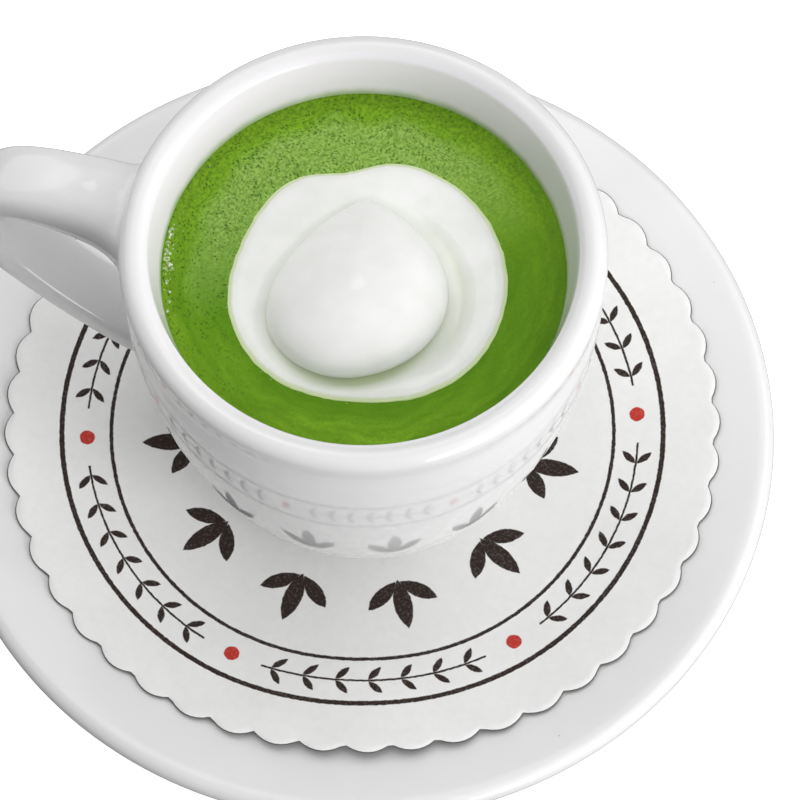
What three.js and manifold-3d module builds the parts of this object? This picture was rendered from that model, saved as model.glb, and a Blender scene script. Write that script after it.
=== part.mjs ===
// A matcha latte in a thick white cup, on a scalloped paper doily and a saucer.
// Millimetres, +Z up. The origin is the centre of the saucer's underside, and the handle points to -X.

import * as THREE from "three";
import { mergeVertices } from "three/addons/utils/BufferGeometryUtils.js";
import Module from "manifold-3d";

const wasm = await Module();
wasm.setup();

// Driving dimensions

const rest_gap = 0.3; // air kept between pieces that lie on or in each other

const saucer_radius = 82.2;
const saucer_floor = 7.5; // height of the flat seat in the middle
const saucer_seat_radius = 31;
const saucer_rim_rise = 7.0; // from the seat up to the start of the rounded rim
const saucer_rim_round = 2.6;
const saucer_wall = 5.2;
const saucer_foot_outer = 43;
const saucer_foot_inner = 37.5;
const saucer_foot_height = 2.0;
const saucer_foot_bevel = 0.7;

const doily_centre = [0.9, 0.5]; // the paper and the cup stand a little off the saucer's centre
const doily_radius = 70.2;
const doily_bend_radius = 48; // the paper bends up from the seat as far as here, then runs straight
const doily_scallops = 48;
const doily_scallop_depth = 1.4;
const paper_thickness = 0.5;

const cup_centre = [1.4, 0.9];
const cup_height = 80.5;
const cup_radius = 44.3; // just under the lip
const cup_foot_radius = 27.5;
const cup_curve_power = 2.25; // how late the side turns in towards the foot
const lip_round = 2.7;
const foot_ring_width = 3.6;
const foot_bevel = 1.2;
const foot_recess = 1.6;
const cup_floor = 7.0; // thickness of the bottom

const handle_width = [14.5, 12.5]; // under the lip and low on the cup
const handle_thickness = [9.5, 6.5];
const handle_flare = 0.22; // how much wider the strap is where it meets the cup
const handle_flare_share = 0.125; // of the strap's length, at each end
const handle_squareness = 0.7; // 1 makes the section an ellipse, less makes it flatter on top
// Middle line of the strap: distance from the cup's axis and height above the cup's foot. It runs out
// almost level from under the lip, round a wide bend and back in at a slant.
const handle_stations = [
  [40.6, 64.3],
  [52.0, 68.0],
  [64.0, 67.3],
  [72.0, 62.0],
  [73.0, 48.5],
  [63.3, 35.9],
  [50.5, 25.2],
  [32.0, 19.3],
];

const drink_level = 69.2; // above the cup's foot
const foam_sink = 2.2; // how deep the milk foam lies in the drink
const foam_proud = 0.5;
const foam_radius = 25.6;
const dollop_height = 10.3;
const dollop_radius = 15.0;
const dollop_point = 7.4; // how far the point at the back is drawn out
const dollop_centre = [-1.0, -7.7];

const foam_turn = 17; // degrees that the foam's front lies away from -Y, towards +X

// Height of the cup's foot, which stands on the paper

const cup_base = saucer_floor + 2 * rest_gap + paper_thickness;

// Curves

function arc(centre_x, centre_z, radius, from_degrees, to_degrees, steps) {
  const points = [];
  for (let i = 0; i <= steps; i += 1) {
    const angle = THREE.MathUtils.degToRad(from_degrees + ((to_degrees - from_degrees) * i) / steps);
    const point = new THREE.Vector2(Math.cos(angle), Math.sin(angle)).multiplyScalar(radius);
    points.push(point.add(new THREE.Vector2(centre_x, centre_z)));
  }
  return points;
}

function spline(stations, steps) {
  const points = stations.map(([radius, height]) => new THREE.Vector2(radius, height));
  return new THREE.SplineCurve(points).getPoints(steps);
}

// Height of the saucer's upper face, flat in the seat and rising ever more steeply to the rim.
function saucerTop(radius) {
  const rim_start = saucer_radius - saucer_rim_round;
  const along = Math.max(0, (radius - saucer_seat_radius) / (rim_start - saucer_seat_radius));
  return saucer_floor + saucer_rim_rise * along ** 1.3;
}

// Radius of the cup's outside at a height above its foot.
function cupSide(height) {
  const straight_from = cup_height - lip_round;
  const below = Math.max(0, 1 - height / straight_from);
  return cup_radius - (cup_radius - cup_foot_radius) * below ** cup_curve_power;
}

// The inside of the cup, from the lip down to the middle of the floor.
function cupInside() {
  const lip_inner = cup_radius - 2 * lip_round;
  const stations = [
    [lip_inner, cup_height - lip_round],
    [lip_inner - 1.95, drink_level],
    [35.6, 56],
    [34.0, 42],
    [31.0, 27],
    [25.5, 14.5],
    [17.5, 8.3],
    [9.0, cup_floor],
  ];
  return spline(stations, 11);
}

// A swelling round one direction, 1 in the middle of it and fading to nothing over the spread.
function bump(angle, direction, spread, power) {
  const turned_by = Math.atan2(Math.sin(angle - direction), Math.cos(angle - direction));
  return Math.exp(-(Math.abs(turned_by / spread) ** power));
}

// Outline of the pool of milk foam seen from above: fuller towards the front, with a dent at the back
// and two flatter stretches.
function foamOutline(angle) {
  const lean = 0.37 * Math.cos(angle) - 2.2 * Math.sin(angle);
  const back_dent = 2.65 * bump(angle, 1.73, 0.33, 2);
  const left_flat = 1.65 * bump(angle, 2.84, 0.5, 2);
  const front_flat = 1.8 * bump(angle, -1.6, 0.5, 2);
  return foam_radius + lean - back_dent - left_flat - front_flat;
}

// Outline of the dollop's foot: a slightly oval round, drawn out to a point at the back.
function dollopOutline(angle) {
  const oval = 1.2 * Math.cos(2 * (angle - 0.4));
  return dollop_radius + oval + dollop_point * bump(angle, 1.5, 0.63, 1.26);
}

// Geometry helpers

// Closed surface over a stack of equally long rings, with each end closed by a fan to its middle.
function skin(rings) {
  const count = rings[0].length;
  const positions = rings.flat().flatMap((point) => point.toArray());
  const triangles = [];
  for (let row = 0; row + 1 < rings.length; row += 1) {
    for (let i = 0; i < count; i += 1) {
      const next = (i + 1) % count;
      const low = row * count;
      const high = low + count;
      triangles.push(low + i, low + next, high + next, low + i, high + next, high + i);
    }
  }
  const addCap = (row, pointing_up) => {
    const ring = rings[row];
    const middle = ring.reduce((sum, point) => sum.add(point), new THREE.Vector3()).divideScalar(count);
    const middle_index = positions.length / 3;
    positions.push(...middle.toArray());
    for (let i = 0; i < count; i += 1) {
      const here = row * count + i;
      const next = row * count + ((i + 1) % count);
      triangles.push(middle_index, pointing_up ? here : next, pointing_up ? next : here);
    }
  };
  addCap(0, false);
  addCap(rings.length - 1, true);
  const geometry = new THREE.BufferGeometry();
  geometry.setAttribute("position", new THREE.Float32BufferAttribute(positions, 3));
  geometry.setIndex(triangles);
  return geometry;
}

// Ring of points about a centre, with the radius and the height given as functions of the angle.
function ring([x, y], count, radiusAt, heightAt) {
  const points = [];
  for (let i = 0; i < count; i += 1) {
    const angle = (i / count) * 2 * Math.PI;
    const radius = radiusAt(angle);
    const [out_x, out_y] = [radius * Math.cos(angle), radius * Math.sin(angle)];
    points.push(new THREE.Vector3(x + out_x, y + out_y, heightAt(angle)));
  }
  return points;
}

// Body of revolution about a vertical axis, from a profile that starts and ends on the axis.
function turned(profile, segments) {
  const geometry = new THREE.LatheGeometry(profile, segments);
  geometry.rotateX(Math.PI / 2);
  return geometry;
}

// Watertight solid from a geometry, whichever way its faces were wound.
function solidFrom(geometry) {
  const bare = geometry.clone();
  bare.deleteAttribute("normal");
  bare.deleteAttribute("uv");
  const merged = mergeVertices(bare, 1e-4);
  const corners = merged.getIndex().array;
  const places = merged.getAttribute("position").array;
  const kept = [];
  let volume = 0;
  const corner = (index) => new THREE.Vector3().fromArray(places, 3 * index);
  for (let i = 0; i < corners.length; i += 3) {
    const [a, b, c] = [corners[i], corners[i + 1], corners[i + 2]];
    if (a !== b && b !== c && c !== a) {
      kept.push([a, b, c]);
      volume += corner(a).dot(corner(b).cross(corner(c)));
    }
  }
  const outward = kept.flatMap(([a, b, c]) => (volume > 0 ? [a, b, c] : [a, c, b]));
  const mesh = new wasm.Mesh({
    numProp: 3,
    vertProperties: new Float32Array(places),
    triVerts: new Uint32Array(outward),
  });
  mesh.merge();
  return new wasm.Manifold(mesh);
}

function meshFrom(name, solid, colour, roughness) {
  const result = solid.getMesh();
  const geometry = new THREE.BufferGeometry();
  geometry.setAttribute("position", new THREE.BufferAttribute(new Float32Array(result.vertProperties), 3));
  geometry.setIndex(new THREE.BufferAttribute(new Uint32Array(result.triVerts), 1));
  geometry.computeVertexNormals();
  const material = new THREE.MeshStandardMaterial({ color: colour, roughness, metalness: 0 });
  const mesh = new THREE.Mesh(geometry, material);
  mesh.name = name;
  return mesh;
}

// Pieces

function makeSaucer() {
  const rim_centre = saucer_radius - saucer_rim_round;
  const rim_top = saucer_floor + saucer_rim_rise;
  const profile = [new THREE.Vector2(0, saucer_floor)];
  const slope_steps = 8;
  for (let i = 0; i <= slope_steps; i += 1) {
    const radius = saucer_seat_radius + ((rim_centre - saucer_seat_radius) * i) / slope_steps;
    profile.push(new THREE.Vector2(radius, saucerTop(radius)));
  }
  profile.push(...arc(rim_centre, rim_top - saucer_rim_round, saucer_rim_round, 65, -95, 6));
  const foot_start = saucer_foot_outer + saucer_foot_height;
  for (let i = 1; i <= 3; i += 1) {
    const radius = rim_centre + ((foot_start - rim_centre) * i) / 3;
    profile.push(new THREE.Vector2(radius, saucerTop(radius) - saucer_wall));
  }
  profile.push(new THREE.Vector2(saucer_foot_outer, saucer_foot_bevel));
  profile.push(new THREE.Vector2(saucer_foot_outer - saucer_foot_bevel, 0));
  profile.push(new THREE.Vector2(saucer_foot_inner + saucer_foot_bevel, 0));
  profile.push(new THREE.Vector2(saucer_foot_inner, saucer_foot_bevel));
  profile.push(new THREE.Vector2(saucer_foot_inner - saucer_foot_height, saucer_foot_height));
  profile.push(new THREE.Vector2(0, saucer_foot_height));
  return solidFrom(turned(profile, 60));
}

// The paper follows the saucer's upper face, and each scallop of its edge is a shallow round bump.
function makeDoily() {
  const points_per_scallop = 4;
  const count = doily_scallops * points_per_scallop;
  const edge = (angle) => {
    const turn = (angle * doily_scallops) / (2 * Math.PI);
    const from_middle = 2 * (turn - Math.floor(turn)) - 1;
    return doily_radius - doily_scallop_depth * from_middle ** 2;
  };
  const ringAt = (radiusAt, lift) => {
    const heightAt = (angle) => saucerTop(radiusAt(angle)) + rest_gap + lift;
    return ring(doily_centre, count, radiusAt, heightAt);
  };
  const rings = [
    ringAt(() => saucer_seat_radius, 0),
    ringAt(() => doily_bend_radius, 0),
    ringAt(edge, 0),
    ringAt(edge, paper_thickness),
    ringAt(() => doily_bend_radius, paper_thickness),
    ringAt(() => saucer_seat_radius, paper_thickness),
  ];
  return solidFrom(skin(rings));
}

function makeCupBody() {
  const lip_centre = cup_radius - lip_round;
  const foot_outer = cup_foot_radius - foot_bevel;
  const foot_inner = foot_outer - foot_ring_width;
  const profile = [new THREE.Vector2(0, foot_recess)];
  profile.push(new THREE.Vector2(foot_inner - foot_recess, foot_recess));
  profile.push(new THREE.Vector2(foot_inner, 0));
  profile.push(new THREE.Vector2(foot_outer, 0));
  const side_steps = 10;
  const side_bottom = foot_bevel;
  const side_top = cup_height - lip_round;
  for (let i = 0; i <= side_steps; i += 1) {
    const height = side_bottom + ((side_top - side_bottom) * i) / side_steps;
    profile.push(new THREE.Vector2(cupSide(height), height));
  }
  profile.push(...arc(lip_centre, cup_height - lip_round, lip_round, 22, 158, 6));
  profile.push(...cupInside());
  profile.push(new THREE.Vector2(0, cup_floor));
  return solidFrom(turned(profile, 64));
}

// Strap handle: a rounded section swept along the stations, flared at both ends.
function makeHandle() {
  const path = new THREE.CatmullRomCurve3(
    handle_stations.map(([out, height]) => new THREE.Vector3(-out, 0, height)),
    false,
    "centripetal",
  );
  const steps = 24;
  const section_points = 14;
  const rings = [];
  for (let i = 0; i <= steps; i += 1) {
    const middle = path.getPointAt(i / steps);
    const ahead = path.getTangentAt(i / steps);
    const sideways = new THREE.Vector3(0, 1, 0);
    const across = new THREE.Vector3().crossVectors(ahead, sideways);
    const from_end = Math.min(i, steps - i) / (steps * handle_flare_share);
    const flare = 1 + handle_flare * Math.exp(-(from_end ** 2));
    const half_width = (flare * THREE.MathUtils.lerp(...handle_width, i / steps)) / 2;
    const half_thickness = (flare * THREE.MathUtils.lerp(...handle_thickness, i / steps)) / 2;
    const points = [];
    for (let k = 0; k < section_points; k += 1) {
      const angle = (k / section_points) * 2 * Math.PI;
      const squared = (value) => Math.sign(value) * Math.abs(value) ** handle_squareness;
      const from_middle = sideways.clone().multiplyScalar(half_width * squared(Math.cos(angle)));
      from_middle.addScaledVector(across, half_thickness * squared(Math.sin(angle)));
      points.push(from_middle.add(middle));
    }
    rings.push(points);
  }
  return solidFrom(skin(rings));
}

function makeCup() {
  return makeCupBody().add(makeHandle()).translate([...cup_centre, cup_base]);
}

// Foam pool: its rounded edge stands a little proud of the drink. Grown by a margin, it is the hollow
// that the drink leaves for it.
function foamPool(margin) {
  const segments = 60;
  const at = (inset, height) =>
    ring([0, 0], segments, (angle) => foamOutline(angle) - inset + margin, () => height);
  const rings = [
    at(foam_sink * 0.6, drink_level - foam_sink - margin),
    at(foam_sink * 0.1, drink_level - foam_sink * 0.5),
    at(0, drink_level),
    at(foam_proud, drink_level + foam_proud + margin),
  ];
  return solidFrom(skin(rings)).rotate([0, 0, foam_turn]);
}

// The drink fills the cup up to its level, but for the hollow that the foam lies in.
function makeMatcha() {
  const wall = cupInside();
  const first_below = wall.findIndex((point) => point.y <= drink_level);
  const above = wall[first_below - 1];
  const below = wall[first_below];
  const share = (drink_level - below.y) / (above.y - below.y);
  const profile = [new THREE.Vector2(0, drink_level)];
  profile.push(new THREE.Vector2(below.x + (above.x - below.x) * share - rest_gap, drink_level));
  for (const point of wall.slice(first_below)) {
    if (point.y < drink_level - 1) {
      profile.push(new THREE.Vector2(point.x - rest_gap, point.y + rest_gap));
    }
  }
  profile.push(new THREE.Vector2(0, cup_floor + rest_gap));
  const drink = solidFrom(turned(profile, 64));
  return drink.subtract(foamPool(rest_gap)).translate([...cup_centre, cup_base]);
}

function makeMilkFoam() {
  return foamPool(0).translate([...cup_centre, cup_base]);
}

// Dollop: a steep-sided mound whose level rings all carry the point, which makes a soft ridge.
function makeDollop() {
  const segments = 44;
  const rows = 9;
  const foot = drink_level + foam_proud + rest_gap;
  const rings = [];
  for (let row = 0; row < rows; row += 1) {
    const climb = ((row / rows) * Math.PI) / 2;
    const height = foot + dollop_height * Math.sin(climb);
    const radiusAt = (angle) => dollopOutline(angle) * Math.cos(climb);
    rings.push(ring(dollop_centre, segments, radiusAt, () => height));
  }
  const dollop = solidFrom(skin(rings)).rotate([0, 0, foam_turn]);
  return dollop.translate([...cup_centre, cup_base]);
}

const latte = new THREE.Group();
latte.add(meshFrom("saucer", makeSaucer(), 0xececea, 0.16));
latte.add(meshFrom("doily", makeDoily(), 0xe9e8e6, 0.9));
latte.add(meshFrom("cup", makeCup(), 0xefefee, 0.14));
latte.add(meshFrom("matcha", makeMatcha(), 0x679020, 0.45));
latte.add(meshFrom("milk_foam", makeMilkFoam(), 0xeaebe6, 0.6));
latte.add(meshFrom("foam_dollop", makeDollop(), 0xf2f2f0, 0.55));

export default latte;
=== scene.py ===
# A matcha latte in a thick white cup, on a scalloped paper doily and a saucer, seen steeply from above.
# Lengths are in millimetres until a piece is finished, when its mesh is scaled to metres.

import math
import random

import bmesh
import bpy
from mathutils import Matrix, Quaternion, Vector, noise


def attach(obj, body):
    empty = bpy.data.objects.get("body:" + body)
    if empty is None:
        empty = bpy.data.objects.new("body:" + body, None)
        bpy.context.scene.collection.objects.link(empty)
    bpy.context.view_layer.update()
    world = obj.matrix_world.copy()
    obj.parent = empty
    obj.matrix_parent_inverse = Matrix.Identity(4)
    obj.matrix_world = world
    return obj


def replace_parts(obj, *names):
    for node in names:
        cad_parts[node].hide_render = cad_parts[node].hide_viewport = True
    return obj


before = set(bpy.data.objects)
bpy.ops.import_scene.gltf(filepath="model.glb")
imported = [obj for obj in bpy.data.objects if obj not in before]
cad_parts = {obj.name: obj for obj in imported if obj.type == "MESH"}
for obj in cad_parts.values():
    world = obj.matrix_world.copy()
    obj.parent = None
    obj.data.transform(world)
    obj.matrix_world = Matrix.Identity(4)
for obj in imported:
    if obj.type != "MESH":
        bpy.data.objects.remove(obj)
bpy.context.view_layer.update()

METRES = 0.001

# Sizes. Where no note says otherwise, they are those of the solids that the pieces stand for.

SAUCER_RADIUS = 82.1  # the solid's is 82.2
SAUCER_FLOOR = 7.5
SAUCER_SEAT_RADIUS = 31.0
SAUCER_RIM_RISE = 7.0
SAUCER_RIM_ROUND = 2.6
SAUCER_WALL = 5.2
SAUCER_FOOT_OUTER = 43.0
SAUCER_FOOT_INNER = 37.5
SAUCER_FOOT_HEIGHT = 2.0

DOILY_CENTRE = (0.9, 0.5)
DOILY_RADIUS = 70.2
DOILY_SCALLOPS = 48
DOILY_SCALLOP_DEPTH = 1.65  # the solid's is 1.4
BUCKLE_DIRECTION = math.radians(286)  # the solid has no buckle

CUP_CENTRE = (1.4, 0.9)
CUP_BASE = 8.6
CUP_HEIGHT = 80.5
CUP_RADIUS = 44.3
CUP_FOOT_RADIUS = 27.5
CUP_CURVE_POWER = 2.25
LIP_ROUND = 2.7
FOOT_RING_WIDTH = 3.6
FOOT_BEVEL = 1.2
FOOT_RECESS = 1.6
CUP_FLOOR = 7.0
# Heights of the rows of points in the wall where the handle's two roots meet it
UPPER_ROOT = (59.4, 64.0, 68.4, 72.6)
LOWER_ROOT = (15.8, 19.2, 22.6, 26.0)

DRINK_LEVEL = 69.2
FOAM_RADIUS = 25.6
FOAM_PROUD = 0.5
FOAM_TURN = math.radians(17)
DOLLOP_CENTRE = (-1.0, -7.7)
DOLLOP_RADIUS = 15.0
DOLLOP_HEIGHT = 10.3
DOLLOP_POINT = 6.7  # the solid's is 7.4


# Making meshes

LOOK_UP_STEPS = 140  # points on a smooth line where a place is looked up along it


def spun(profile, steps):
    """Surface of revolution about Z, from a line of (radius, height) stations."""
    mesh = bmesh.new()
    points = [mesh.verts.new((radius, 0, height)) for radius, height in profile]
    for here, after in zip(points, points[1:]):
        mesh.edges.new((here, after))
    bmesh.ops.spin(
        mesh, geom=mesh.verts[:] + mesh.edges[:], cent=(0, 0, 0), axis=(0, 0, 1), angle=math.tau,
        steps=steps, use_merge=True,
    )
    bmesh.ops.remove_doubles(mesh, verts=mesh.verts, dist=0.001)
    bmesh.ops.recalc_face_normals(mesh, faces=mesh.faces)
    return mesh


def arc(centre, radius, start, end, steps):
    """Points along an arc from one angle to another, in degrees."""
    angles = [math.radians(start + (end - start) * i / steps) for i in range(steps + 1)]
    return [(centre[0] + radius * math.cos(a), centre[1] + radius * math.sin(a)) for a in angles]


def smooth_line(stations, steps):
    """Even points on a smooth line through the stations."""
    ends = [stations[0], *stations, stations[-1]]
    points = []
    for i in range(steps + 1):
        along = (len(stations) - 1) * i / steps
        first = min(int(along), len(stations) - 2)
        t = along - first
        before, start, end, after = (Vector(p) for p in ends[first:first + 4])
        lean_in, lean_out = (end - before) / 2, (after - start) / 2
        points.append(
            start + t * lean_in
            + t * t * (3 * (end - start) - 2 * lean_in - lean_out)
            + t * t * t * (2 * (start - end) + lean_in + lean_out)
        )
    return [tuple(p) for p in points]


def finished(mesh, name, material, place=(0, 0, 0)):
    """Moves the mesh to its place, turns it to metres and makes it a piece that rides with the object."""
    bmesh.ops.translate(mesh, verts=mesh.verts, vec=place)
    bmesh.ops.scale(mesh, verts=mesh.verts, vec=(METRES,) * 3)
    data = bpy.data.meshes.new(name)
    for face in mesh.faces:
        face.smooth = True
    mesh.to_mesh(data)
    mesh.free()
    data.materials.append(material)
    piece = bpy.data.objects.new(name, data)
    bpy.context.scene.collection.objects.link(piece)
    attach(piece, "root")
    return piece


def subdivided(piece, levels):
    """Rounds the piece off with a modifier."""
    modifier = piece.modifiers.new("smooth", "SUBSURF")
    modifier.levels = modifier.render_levels = levels


def bump(angle, direction, spread, power):
    """A swelling round one direction, 1 in the middle of it and fading to nothing over the spread."""
    turned_by = math.atan2(math.sin(angle - direction), math.cos(angle - direction))
    return math.exp(-abs(turned_by / spread) ** power)


def soft_step(value, start, end):
    """0 at the start and 1 at the end, with an easy run between them."""
    share = min(1.0, max(0.0, (value - start) / (end - start)))
    return share * share * (3 - 2 * share)


# Making materials


def linear(hex_colour):
    """Linear colour from an sRGB hex value."""
    channels = [int(hex_colour[i:i + 2], 16) / 255 for i in (1, 3, 5)]
    return (*[c / 12.92 if c <= 0.04045 else ((c + 0.055) / 1.055) ** 2.4 for c in channels], 1.0)


def feed(tree, socket, value):
    """Sets a socket to a value, or links it to another socket or to a node's first one."""
    if isinstance(value, bpy.types.Node):
        value = value.outputs[0]
    if isinstance(value, bpy.types.NodeSocket):
        tree.links.new(value, socket)
    else:
        socket.default_value = value


def add(tree, kind, inputs=None, **settings):
    """Adds one shader node with its settings, and sets or links its inputs."""
    node = tree.nodes.new("ShaderNode" + kind)
    for name, value in settings.items():
        setattr(node, name, value)
    pairs = inputs.items() if isinstance(inputs, dict) else enumerate(inputs or ())
    for name, value in pairs:
        feed(tree, node.inputs[name], value)
    return node


def new_material(name, centre=(0, 0)):
    """A material with its shader, and Object coordinates in millimetres from a centre, so that the scale of a
    pattern is 1 over its size in millimetres."""
    material = bpy.data.materials.new(name)
    material.use_nodes = True
    tree = material.node_tree
    shader = tree.nodes["Principled BSDF"]
    where = add(tree, "TexCoord").outputs["Object"]
    to_centre = (-centre[0], -centre[1], 0)
    to_mm = add(tree, "Mapping", {"Vector": where, "Scale": (1 / METRES,) * 3, "Location": to_centre})
    return material, tree, shader, to_mm


def set_shader(tree, shader, **values):
    """Sets or links the shader's inputs, whose names are given with underscores for spaces."""
    for name, value in values.items():
        feed(tree, shader.inputs[name.replace("_", " ")], value)


def glazed_stoneware(name, light, shade, tea_level=None):
    """Dipped and fired white stoneware: the clear glaze gives sharp reflections with a slight waviness, and
    holds a few tiny iron specks. Where tea stands in it, the inner wall is painted a faint lilac that cancels
    the tea's green bounce light, a thin film of the tea clings to the wall, and on the right it has greyish
    painted shade."""
    material, tree, shader, place = new_material(name, CUP_CENTRE)
    drift = add(tree, "TexNoise", {"Vector": place, "Scale": 1 / 28, "Detail": 3.0})
    tone = add(tree, "MapRange", {"Value": drift, "From Min": 0.35, "From Max": 0.68})
    body = add(tree, "MixRGB", {"Fac": tone, "Color1": linear(light), "Color2": linear(shade)})

    # Only a few of the cells hold a speck.
    cells = add(tree, "TexVoronoi", {"Vector": place, "Scale": 1 / 7})
    speck = add(tree, "MapRange", {
        "Value": cells, "From Min": 0.016, "From Max": 0.03, "To Min": 0.55, "To Max": 0.0,
    })
    rare = add(tree, "TexNoise", {"Vector": place, "Scale": 1 / 11, "Detail": 0.0})
    kept = add(tree, "MapRange", {"Value": rare, "From Min": 0.56, "From Max": 0.62})
    specks = add(tree, "Math", (speck, kept), operation="MULTIPLY")
    colour = add(tree, "MixRGB", {"Fac": specks, "Color1": body, "Color2": linear("#9a8f80")})

    if tea_level is not None:
        # Only the inner wall is marked, from a little under the tea upwards.
        wall_limit, under_tea = 40.0, 4
        flat = add(tree, "VectorMath", (place, (1, 1, 0)), operation="MULTIPLY")
        radius = add(tree, "VectorMath", (flat,), operation="LENGTH").outputs["Value"]
        inside = add(tree, "Math", (radius, wall_limit), operation="LESS_THAN")
        height = add(tree, "SeparateXYZ", {"Vector": place}).outputs["Z"]
        upper = add(tree, "Math", (height, tea_level - under_tea), operation="GREATER_THAN")
        inside = add(tree, "Math", (inside, upper), operation="MULTIPLY")

        fade_top, fade_bottom = tea_level + 11.5, tea_level + 8.0
        low = add(tree, "MapRange", {"Value": height, "From Min": fade_top, "From Max": fade_bottom})
        painted_inner_wall = add(tree, "Math", (low, inside), operation="MULTIPLY")
        # Painted light: a faint lilac over the inner wall cancels the green light the tea throws on it.
        colour = add(tree, "MixRGB", {"Fac": painted_inner_wall, "Color1": colour, "Color2": linear("#fbf4ff")})
        # Painted shade: the inner wall on the right is greyed, where little light reaches it.
        around = add(tree, "VectorMath", (flat,), operation="NORMALIZE")
        right = add(tree, "VectorMath", (around, (0.97, 0.25, 0)), operation="DOT_PRODUCT").outputs["Value"]
        right = add(tree, "MapRange", {"Value": right, "From Min": 0.7, "From Max": 1.0, "To Max": 0.55})
        painted_shade_right = add(tree, "Math", (right, painted_inner_wall), operation="MULTIPLY")
        colour = add(tree, "MixRGB", {"Fac": painted_shade_right, "Color1": colour, "Color2": linear("#aebaa4")})

        film_unevenness = -1.6
        film_top, film_bottom = tea_level + 1.9, tea_level - 0.9
        cling = add(tree, "TexNoise", {"Vector": place, "Scale": 1 / 5, "Detail": 3.0})
        height = add(tree, "Math", (cling, film_unevenness, height), operation="MULTIPLY_ADD")
        film = add(
            tree, "MapRange", {"Value": height, "From Min": film_top, "From Max": film_bottom},
            interpolation_type="SMOOTHSTEP",
        )
        film = add(tree, "Math", (film, inside), operation="MULTIPLY")
        film = add(tree, "Math", (film, 0.85), operation="MULTIPLY")
        colour = add(tree, "MixRGB", {"Fac": film, "Color1": colour, "Color2": linear("#86ab45")})

    fine = add(tree, "TexNoise", {"Vector": place, "Scale": 1 / 1.1, "Detail": 2.0})
    gloss = add(tree, "MapRange", {
        "Value": fine, "From Min": 0.3, "From Max": 0.8, "To Min": 0.05, "To Max": 0.1,
    })
    wave = add(tree, "TexNoise", {"Vector": place, "Scale": 1 / 9, "Detail": 1.0})
    height = add(tree, "MixRGB", {"Fac": 0.06, "Color1": wave, "Color2": fine})
    relief = add(tree, "Bump", {"Height": height, "Strength": 0.25, "Distance": 0.00012})
    set_shader(tree, shader, Base_Color=colour, Roughness=gloss, Normal=relief, IOR=1.52)
    return material


# Saucer


def saucer_top(radius):
    """Height of the saucer's upper face, flat in the seat and rising ever more steeply to the rim."""
    rise_power = 1.3
    rim_start = SAUCER_RADIUS - SAUCER_RIM_ROUND
    along = max(0.0, (radius - SAUCER_SEAT_RADIUS) / (rim_start - SAUCER_SEAT_RADIUS))
    return SAUCER_FLOOR + SAUCER_RIM_RISE * along ** rise_power


def make_saucer(glaze):
    """One spun piece: from the seat out to the rounded rim, and back below to the foot ring and the
    middle."""
    slope_steps, rim_steps, under_steps, segments = 24, 16, 12, 180
    rim_centre = SAUCER_RADIUS - SAUCER_RIM_ROUND
    rim_height = SAUCER_FLOOR + SAUCER_RIM_RISE - SAUCER_RIM_ROUND
    slope_end = rim_centre - 1
    slope_length = slope_end - SAUCER_SEAT_RADIUS
    slope = [SAUCER_SEAT_RADIUS + slope_length * i / slope_steps for i in range(slope_steps + 1)]
    profile = [(radius, SAUCER_FLOOR) for radius in (0, 8, 16, 24)]
    profile += [(radius, saucer_top(radius)) for radius in slope]
    profile += arc((rim_centre, rim_height), SAUCER_RIM_ROUND, 82, -100, rim_steps)
    to_foot = SAUCER_FOOT_OUTER + 2 - rim_centre
    under = [slope_end + to_foot * i / under_steps for i in range(1, under_steps + 1)]
    profile += [(radius, saucer_top(radius) - SAUCER_WALL) for radius in under]

    # The foot ring's section, as shares of its half width and heights in millimetres
    foot_middle = (SAUCER_FOOT_OUTER + SAUCER_FOOT_INNER) / 2
    foot_half = (SAUCER_FOOT_OUTER - SAUCER_FOOT_INNER) / 2
    profile.append((SAUCER_FOOT_OUTER + 0.4, SAUCER_FOOT_HEIGHT * 0.8))
    ring_section = [(1.0, 0.9), (0.9, 0.25), (0.7, 0.0)]
    ring_section += [(-share, z) for share, z in reversed(ring_section)]
    profile += [(foot_middle + foot_half * share, z) for share, z in ring_section]
    recess = (SAUCER_FOOT_INNER - 0.7, SAUCER_FOOT_INNER - 8, 0)
    profile += [(radius, SAUCER_FOOT_HEIGHT) for radius in recess]
    piece = finished(spun(profile, segments), "saucer_glazed", glaze)
    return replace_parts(piece, "saucer")


# Doily


def doily_edge(angle):
    """Radius of the cut edge. The scallops are spaced a little unevenly round it, and the buckle draws it
    in."""
    off_by = 0.16 * math.cos(angle - 3.4) - 0.04
    turn = angle * DOILY_SCALLOPS / math.tau - off_by
    from_middle = 2 * (turn - math.floor(turn)) - 1
    drawn_in = 0.5 * bump(angle, BUCKLE_DIRECTION, math.radians(30), 2)
    return DOILY_RADIUS - drawn_in - DOILY_SCALLOP_DEPTH * from_middle ** 2


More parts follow.
